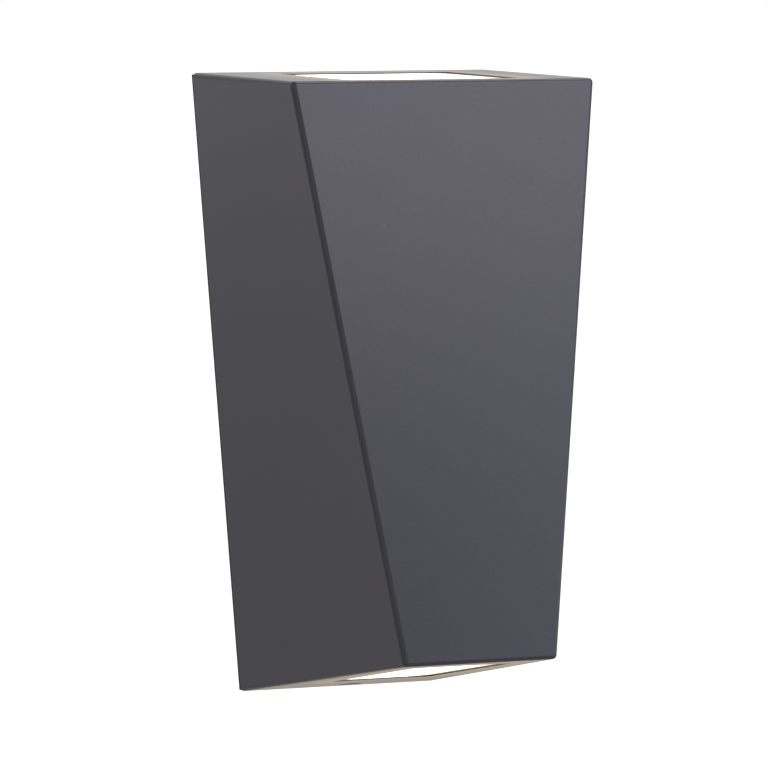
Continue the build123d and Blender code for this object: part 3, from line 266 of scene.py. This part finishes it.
# %% Floor finish
FLOOR_DARK, FLOOR_PALE = (0.70, 0.70, 0.70), (0.74, 0.74, 0.74)
BLACK, FAR_GLOW = (0.0, 0.0, 0.0), (0.8, 0.8, 0.8)
LEFT_GLOW, RIGHT_GLOW = (1.0, 0.95, 1.04), (0.84, 0.70, 0.52)
NEAR_SHARE, RIGHT_SHARE = 0.42, 0.40
NEAR_END, NEAR_FULL = 8.5, 6.0
BEHIND_START, BEHIND_FULL = 0.6, 4.0
RIGHT_TURN, RIGHT_START, RIGHT_FULL = 0.6, -0.4, 1.0
COOL_END, WARM_FULL = -1.0, 1.5
FAR_START, FAR_FULL = 8.0, 11.0

pale = Finish("pale_floor", Roughness=0.9, Emission_Strength=1.0)
ahead = {0: pale.place, 1: -toward}
away = pale.wire.node("VectorMath", {"operation": "DOT_PRODUCT"}, ahead, out="Value")
x, y, _ = pale.axes()
nearby = x.diagonal(y).ease(NEAR_END, NEAR_FULL)
rightward = (x + RIGHT_TURN * y).ease(RIGHT_START, RIGHT_FULL)
behind = y.ease(BEHIND_START, BEHIND_FULL)
lit = (NEAR_SHARE * nearby + RIGHT_SHARE * rightward) * behind
warmth = pale.mix(x.ease(COOL_END, WARM_FULL), LEFT_GLOW, RIGHT_GLOW)
near_glow = pale.mix(lit, BLACK, warmth)
pale.set(
    Base_Color=pale.mix(pale.noise(3.0), FLOOR_DARK, FLOOR_PALE),
    Emission_Color=pale.mix(away.ease(FAR_START, FAR_FULL), near_glow, FAR_GLOW),
)
floor_mesh.materials.append(pale.material)
print("floor nodes:", len(pale.material.node_tree.nodes))

# %% [markdown]
# Each lens lies under a lip of the casting, and the part inside the lip is its window. The glow of
# the lens, with its painted shade at the edges, and the painted warm light on the coat both follow
# the window's edge. They could be painted by hand, but the distance to that edge is easily worked
# out from the lens's box.

# %% Window edges
LENSES = ("top_lens", "bottom_lens")
LIP = 0.003


def window(node):
    """Middle and half sides of a window, which is the box of its lens without the lip."""
    low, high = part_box(node)
    return (low + high) / 2, (high - low) / 2 - Vector((LIP, LIP, 0))


def window_edges(finish, node):
    """Distances into a window from its ends and from its long edges, below 0 outside it."""
    middle, half = window(node)
    x, y, _ = finish.axes()
    return half.x - abs(x - middle.x), half.y - abs(y - middle.y)


for lens_node in LENSES:
    print(lens_node, "window in mm:", [round(2000 * side, 1) for side in window(lens_node)[1].xy])

# %% [markdown]
# Warm light is painted onto the coat round the two windows: painted warm light in its colour and
# a painted glow in its emission. Only the faces that hold a window get it, so the painted light is kept
# to the height of each lens and to faces that point up or down.

# %% Painted window light
PAINTED_LIGHT_REACH = 0.016
RIM = 0.003
SLANTED, NEARLY_LEVEL = 0.8, 0.95


def painted_window_light(finish):
    """Share of painted warm light on the faces that hold a window, from 1 at its edge to 0 away from
    it.
    """
    z = finish.axes()[2]
    normal = finish.wire.node("TexCoord", out="Normal")
    slope = finish.wire.node("SeparateXYZ", sockets={"Vector": normal}, out="Z")
    share = 0.0
    for node in LENSES:
        low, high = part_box(node)
        inside = finish.wire.maths("MINIMUM", *window_edges(finish, node))
        near_face = (z - low.z).ease(-RIM, 0.0) * (high.z - z).ease(-RIM, 0.0)
        share = share + inside.ease(-PAINTED_LIGHT_REACH, 0.0) * near_face
    return share * abs(slope).ease(SLANTED, NEARLY_LEVEL)


print("tan reaches, in mm:", 1000 * PAINTED_LIGHT_REACH)

# %% [markdown]
# The seat of the lock screw is painted pale, as painted light that lifts the shade in that recess.
# The casting is one solid with one material, so the seat is picked out by its distance from the
# screw's axis, which the box of the washer gives.

# %% Screw seat
SEAT_RADIUS, SEAT_EDGE = 0.0047, 0.0002


def painted_seat_light(finish):
    """1 in the lock screw's seat and 0 on the rest of the casting."""
    low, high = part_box("lock_washer")
    x, y, z = finish.axes()
    reach = x.diagonal(y - (low.y + high.y) / 2)
    return reach.ease(SEAT_RADIUS + SEAT_EDGE, SEAT_RADIUS) * z.ease(high.z + RIM, high.z)


print("seat radius, in mm:", 1000 * SEAT_RADIUS)

# %% [markdown]
# The body is a casting with a fine-textured powder coat. Sprayed powder melts into tiny hills, so the
# coat has two grains of relief, a faint change of tone from grain to grain, and broad soft patches
# where the film is a little paler and rougher. Real hills in the mesh would need millions of faces, so
# a Bump node shades a flat face as if it had them.

# %% Powder coat
# Painted light on the coat: a warm colour and a glow round the windows, and a pale colour in the lock
# screw's seat.
ANTHRACITE, PAINTED_WARM_LIGHT, SEAT_PAINTED_LIGHT = (0.040, 0.037, 0.050), (0.16, 0.125, 0.09), (0.42, 0.41, 0.39)
PAINTED_SPILL_GLOW = (0.10, 0.055, 0.012)
HILL_DEPTH = 0.00005


def shade(colour, factor):
    """Lighter or darker copy of a colour."""
    return tuple(min(1.0, part * factor) for part in colour)


def powder_coat():
    finish = Finish("anthracite_casting", IOR=1.5)
    hills = finish.noise(1600.0, detail=3.0)
    dust = finish.noise(5200.0, detail=1.0)
    patches = finish.noise(45.0)
    tone = (0.65 * hills + 0.35 * dust).ease(0.3, 0.7)
    grain = finish.mix(tone, shade(ANTHRACITE, 0.86), shade(ANTHRACITE, 1.16))
    film = finish.mix(patches.ease(0.35, 0.65) * 0.25, grain, shade(ANTHRACITE, 1.12))
    # Round the windows the coat gets painted warm light and a painted glow.
    painted_light, seat = painted_window_light(finish), painted_seat_light(finish)
    finish.set(
        # The lock screw's seat is painted pale, as painted light over its shade.
        Base_Color=finish.mix(seat, finish.mix(painted_light, film, PAINTED_WARM_LIGHT), SEAT_PAINTED_LIGHT),
        Roughness=0.30 + 0.06 * patches - 0.03 * dust,
        Emission_Color=finish.mix(painted_light, BLACK, PAINTED_SPILL_GLOW),
        Emission_Strength=1.0,
        Normal=finish.relief(0.7 * hills + 0.3 * dust, depth=HILL_DEPTH, strength=0.50),
    )
    return finish.material


finishes = {"anthracite_casting": powder_coat()}
print("coat nodes:", len(finishes["anthracite_casting"].node_tree.nodes))

# %% [markdown]
# The opal lenses glow. Lamps behind clear lenses could light them, but that takes a long render to come
# out smooth, so the lenses give out the light themselves. The glow is white in the middle of a window
# and painted dark and warm at its ends and long edges, as painted shade and painted warm reflection
# of the window's walls, so the glow's colour follows the distance to the window's edge.

# %% Lenses
OPAL_DARK, OPAL_PALE = (0.78, 0.76, 0.72), (0.84, 0.82, 0.79)
END_PAINTED_SHADE, END_PAINTED_WARM, LONG_EDGE_PAINTED_SHADE = (0.12, 0.08, 0.045), (0.30, 0.24, 0.17), (0.10, 0.06, 0.03)
LIGHT_WHITE, LIGHT_STRENGTH = (1.0, 0.95, 0.88), 3.0
PAINTED_WARM_FROM_END, LONG_EDGE_WIDTH = 0.004, 0.0014
WHITE_START, WHITE_FULL = 0.003, 0.010


def opal_lens(node):
    finish = Finish(node + "_opal", Roughness=0.35, IOR=1.49, Subsurface_Weight=0.2)
    from_end, from_long_edge = window_edges(finish, node)
    haze = finish.noise(900.0)
    # Painted shade and painted warm reflection of the window's walls: the glow turns dark brown, then
    # warm, towards the ends, and dark brown along the long edges.
    painted_end_shade = finish.mix(from_end.ease(0.0, PAINTED_WARM_FROM_END), END_PAINTED_SHADE, END_PAINTED_WARM)
    glow = finish.mix(from_end.ease(WHITE_START, WHITE_FULL), painted_end_shade, LIGHT_WHITE)
    finish.set(
        Base_Color=finish.mix(haze, OPAL_DARK, OPAL_PALE),
        Emission_Color=finish.mix(from_long_edge.ease(0.0, LONG_EDGE_WIDTH), LONG_EDGE_PAINTED_SHADE, glow),
        Emission_Strength=LIGHT_STRENGTH,
        Normal=finish.relief(haze, depth=0.00003, strength=0.3),
    )
    return finish.material


for lens_node in LENSES:
    finishes[lens_node] = opal_lens(lens_node)
    print(lens_node, "nodes:", len(finishes[lens_node].node_tree.nodes))

# %% [markdown]
# Bare metals share one recipe: metal all through, with a grain that is drawn out along the
# direction of rolling or turning, and cloudy plating. A material for each by hand would repeat the
# same nodes seven times. Only colours, roughness and directions differ, so they stand in a table.

# %% Metals
UP, ACROSS, EVEN = (1.0, 1.0, 0.05), (0.05, 1.0, 1.0), (1.0, 1.0, 1.0)
BRACKET_ZINC = ((0.60, 0.62, 0.64), 0.34, UP, (0.62, 0.60, 0.50))
METALS = {
    "bracket_zinc": BRACKET_ZINC,
    "bar_zinc": ((0.60, 0.61, 0.62), 0.36, ACROSS, (0.60, 0.58, 0.50)),
    "pin_steel": ((0.64, 0.64, 0.65), 0.24, ACROSS, (0.55, 0.55, 0.56)),
    "screw_steel": ((0.55, 0.56, 0.57), 0.28, EVEN, (0.62, 0.62, 0.60)),
    "chassis_aluminium": ((0.74, 0.75, 0.76), 0.36, UP, (0.70, 0.71, 0.73)),
    "contact_brass": ((0.80, 0.62, 0.28), 0.26, UP, (0.70, 0.52, 0.24)),
    "tag_tin": ((0.72, 0.71, 0.67), 0.30, ACROSS, (0.66, 0.65, 0.62)),
}


def bare_metal(name, colour, rough, stretch, cloud, marks=None):
    finish = Finish(name, Metallic=1.0)
    lines = finish.noise(1800.0, detail=3.0, stretch=stretch)
    patches = finish.noise(120.0, detail=3.0)
    drawn = finish.mix(lines, shade(colour, 0.88), shade(colour, 1.08))
    plated = finish.mix(patches.ease(0.35, 0.7) * 0.45, drawn, cloud)
    finish.set(
        Base_Color=marks(finish, plated) if marks else plated,
        Roughness=rough - 0.06 + 0.10 * lines + 0.06 * patches,
        Normal=finish.relief(lines, depth=0.00001, strength=0.4),
    )
    return finish.material


for slot, recipe in METALS.items():
    finishes[slot] = bare_metal(slot, *recipe)
print("metals:", list(METALS))

# %% [markdown]
# The hinge ears and the lock tab are spot-welded to the bracket by their feet. On the back of the sheet
# each weld leaves a dull round spot inside a ring of straw-coloured heat tint. The marks are flat, so
# they are drawn by the material and not modelled. Their places follow from the boxes of the ears and
# the tab, two in each foot.

# %% Weld marks
SPOT_RADIUS, TINT_RADIUS, MARK_EDGE = 0.0021, 0.0030, 0.0006
SPOT_GREY, HEAT_STRAW, TINT_SHARE = (0.49, 0.49, 0.50), (0.62, 0.52, 0.34), 0.5
EAR_FOOT_IN, EAR_WELDS_UP = 0.006, (0.0045, 0.0125)
TAB_WELD_OUT, TAB_WELD_UP = 0.0045, 0.0075


def weld_places():
    """How far across and how high each weld is."""
    ears_low, ears_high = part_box("hinge_ears")
    tab_low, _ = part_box("lock_tab")
    places = [(TAB_WELD_OUT, tab_low.z + TAB_WELD_UP)]
    places += [(ears_high.x - EAR_FOOT_IN, ears_low.z + rise) for rise in EAR_WELDS_UP]
    return places


def weld_marks(finish, colour):
    """The colour of a sheet with the marks of its welds, the same on the left and the right."""
    x, _, z = finish.axes()
    for across, height in weld_places():
        gap = (abs(x) - across).diagonal(z - height)
        tint = gap.ease(TINT_RADIUS + MARK_EDGE, TINT_RADIUS) * TINT_SHARE
        spot = gap.ease(SPOT_RADIUS + MARK_EDGE, SPOT_RADIUS)
        colour = finish.mix(spot, finish.mix(tint, colour, HEAT_STRAW), SPOT_GREY)
    return colour


finishes["wall_bracket"] = bare_metal("welded_zinc", *BRACKET_ZINC, marks=weld_marks)
print("welds:", 2 * len(weld_places()))

# %% [markdown]
# Moulded plastic copies the fine spark-eroded grain of its mould, so it has a shallow even
# relief and hardly any change of colour. Colour and gloss tell a lever from a driver case, so
# one recipe with a table of the two does for all.

# %% Plastics
PLASTICS = {
    "white_reflector": ((0.90, 0.90, 0.88), 0.30),
    "driver_plastic": ((0.80, 0.80, 0.77), 0.48),
    "terminal_grey": ((0.62, 0.64, 0.66), 0.38),
    "lever_orange": ((0.82, 0.24, 0.02), 0.34),
    "lead_brown": ((0.17, 0.07, 0.025), 0.36),
    "lead_blue": ((0.02, 0.10, 0.46), 0.36),
    "lead_red": ((0.55, 0.02, 0.02), 0.36),
    "lead_black": ((0.018, 0.018, 0.018), 0.36),
}
MOULD_GRAIN, MOULD_DEPTH = 3200.0, 0.00003


def moulded(name, colour, rough):
    finish = Finish(name, IOR=1.5)
    pits = finish.noise(MOULD_GRAIN)
    flow = finish.noise(60.0, stretch=(1.0, 1.0, 0.3))
    finish.set(
        Base_Color=finish.mix(flow.ease(0.3, 0.7), shade(colour, 0.95), shade(colour, 1.04)),
        Roughness=rough - 0.05 + 0.10 * pits,
        Normal=finish.relief(pits, depth=MOULD_DEPTH, strength=0.35),
    )
    return finish.material


for slot, recipe in PLASTICS.items():
    finishes[slot] = moulded(slot, *recipe)
print("plastics:", list(PLASTICS))

# %% [markdown]
# The earth lead is green with two yellow stripes along it. A pattern that follows the lead round its
# bends would need to be unwrapped. But the lead lies in one plane at a fixed distance from the wall,
# so the stripes are where the surface is furthest from that plane.

# %% Earth lead
EARTH_GREEN, EARTH_YELLOW = (0.03, 0.26, 0.05), (0.78, 0.66, 0.03)
GREEN_TO, YELLOW_FROM = 0.0006, 0.0007


def earth_stripes():
    finish = Finish("lead_green_yellow", IOR=1.5)
    low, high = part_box("earth_lead")
    _, y, _ = finish.axes()
    pits = finish.noise(MOULD_GRAIN)
    off_plane = abs(y - (low.y + high.y) / 2)
    stripe = off_plane.ease(GREEN_TO, YELLOW_FROM)
    finish.set(
        Base_Color=finish.mix(stripe, EARTH_GREEN, EARTH_YELLOW),
        Roughness=0.32 + 0.08 * pits,
        Normal=finish.relief(pits, depth=MOULD_DEPTH, strength=0.3),
    )
    return finish.material


finishes["lead_green_yellow"] = earth_stripes()
print("stripes begin, in mm off the lead's plane:", 1000 * GREEN_TO)

# %% [markdown]
# Rubber and foam are matt. Solid rubber shows a bloom of fine dust. The foam seal is cut through its
# cells, so they show as pits with thin walls between them, and a Voronoi pattern has just that shape.
# The pits are painted darker than their walls, as painted shade in them.

# %% Rubber and foam
RUBBERS = {
    "black_rubber": ((0.022, 0.022, 0.023), 0.66, (0.05, 0.05, 0.05)),
    "silicone_seal": ((0.66, 0.66, 0.63), 0.45, (0.74, 0.74, 0.72)),
    "thermal_pad": ((0.40, 0.47, 0.55), 0.70, (0.50, 0.56, 0.62)),
}
PIT_PAINTED_SHADE, WALL_GREY = (0.012, 0.012, 0.012), (0.05, 0.05, 0.052)


def soft_rubber(name, colour, rough, bloom):
    finish = Finish(name, IOR=1.52)
    dust = finish.noise(700.0, detail=4.0)
    pits = finish.noise(3800.0)
    finish.set(
        Base_Color=finish.mix(dust.ease(0.4, 0.75) * 0.5, colour, bloom),
        Roughness=rough - 0.06 + 0.12 * dust,
        Normal=finish.relief(pits, depth=0.00004, strength=0.4),
    )
    return finish.material


def cell_foam():
    finish = Finish("black_foam", IOR=1.5)
    cells = finish.cells(1900.0).ease(0.1, 0.6)
    dust = finish.noise(500.0, detail=3.0)
    finish.set(
        # The pits are painted darker than the walls: painted shade.
        Base_Color=finish.mix(cells, PIT_PAINTED_SHADE, WALL_GREY),
        Roughness=0.86 + 0.10 * dust,
        Normal=finish.relief(cells, depth=0.0002, strength=0.6),
    )
    return finish.material


for slot, recipe in RUBBERS.items():
    finishes[slot] = soft_rubber(slot, *recipe)
finishes["black_foam"] = cell_foam()
print("rubbers:", list(RUBBERS), "and foam")

# %% [markdown]
# The electronics sit behind lids, yet they are seen when the model is taken apart. A circuit board is
# lacquer over copper, so its tracks show as slightly lighter or darker lines under the colour. A real
# layout would have to be drawn. The joints of a Brick texture run along and across as tracks do.

# %% Circuit boards
BOARDS = {
    "circuit_green": ((0.02, 0.20, 0.07), (0.05, 0.30, 0.10), 0.30),
    "board_white": ((0.88, 0.88, 0.86), (0.80, 0.80, 0.76), 0.34),
}
TRACKS = {
    "Scale": 260.0,
    "Mortar Size": 0.06,
    "Mortar Smooth": 0.2,
    "Brick Width": 1.6,
    "Row Height": 0.55,
}


def circuit(name, lacquer, track, rough):
    finish = Finish(name, IOR=1.5)
    lines = finish.wire.node("TexBrick", sockets={"Vector": finish.place, **TRACKS}, out="Fac")
    weave = finish.noise(2500.0)
    colour = finish.mix(weave * 0.3, lacquer, shade(lacquer, 1.2))
    finish.set(
        Base_Color=finish.mix(lines, colour, track),
        Roughness=rough + 0.08 * weave,
        Normal=finish.relief(lines, depth=0.00004, strength=0.4),
    )
    return finish.material


for slot, recipe in BOARDS.items():
    finishes[slot] = circuit(slot, *recipe)
print("boards:", list(BOARDS))

# %% [markdown]
# Three finishes are left for what sits on the boards. The LEDs are dots of yellow phosphor that glow,
# the transformer's core is sintered ferrite with a dull dark grain, and the capacitors wear a dark
# sleeve with a pale stripe on one side.

# %% Parts on the boards
PHOSPHOR_DARK, PHOSPHOR_PALE = (0.86, 0.66, 0.16), (0.95, 0.80, 0.30)
DOT_AMBER, DOT_CREAM = (1.0, 0.80, 0.48), (1.0, 0.86, 0.60)
FERRITE_DARK, FERRITE_PALE = (0.06, 0.058, 0.058), (0.12, 0.115, 0.115)
SLEEVE_BLUE, STRIPE_GREY = (0.03, 0.04, 0.12), (0.55, 0.57, 0.60)
SLEEVE_TO, STRIPE_FROM = 0.55, 0.6


def phosphor():
    finish = Finish("led_phosphor", Roughness=0.4, Emission_Strength=1.0)
    grain = finish.noise(4000.0)
    finish.set(
        Base_Color=finish.mix(grain, PHOSPHOR_DARK, PHOSPHOR_PALE),
        Emission_Color=finish.mix(grain, DOT_AMBER, DOT_CREAM),
    )
    return finish.material


def sintered():
    finish = Finish("ferrite", Roughness=0.7)
    grain = finish.noise(3000.0, detail=3.0)
    finish.set(
        Base_Color=finish.mix(grain, FERRITE_DARK, FERRITE_PALE),
        Normal=finish.relief(grain, depth=0.00005, strength=0.5),
    )
    return finish.material


def can_sleeve():
    finish = Finish("capacitor_can", IOR=1.5)
    _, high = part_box("driver_capacitors")
    x = finish.axes()[0]
    grain = finish.noise(2600.0)
    stripe = x.ease(SLEEVE_TO * high.x, STRIPE_FROM * high.x)
    finish.set(
        Base_Color=finish.mix(stripe, SLEEVE_BLUE, STRIPE_GREY),
        Roughness=0.3 + 0.1 * grain,
    )
    return finish.material


finishes["led_phosphor"] = phosphor()
finishes["ferrite"] = sintered()
finishes["capacitor_can"] = can_sleeve()
print("finishes made:", len(finishes))

# %% [markdown]
# Now each solid takes the finish of its slot. The two lenses have a finish each, because their windows
# differ in size, and so has the bracket's sheet, because of its welds.

# %% Dress the solids
slots = {part["node"]: part["material_slot"] for part in frame["record"]["subparts"]}
for name, solid in nodes.items():
    chosen = finishes.get(name) or finishes[slots[name]]
    solid.data.materials.clear()
    solid.data.materials.append(chosen)
print("dressed:", len(nodes))
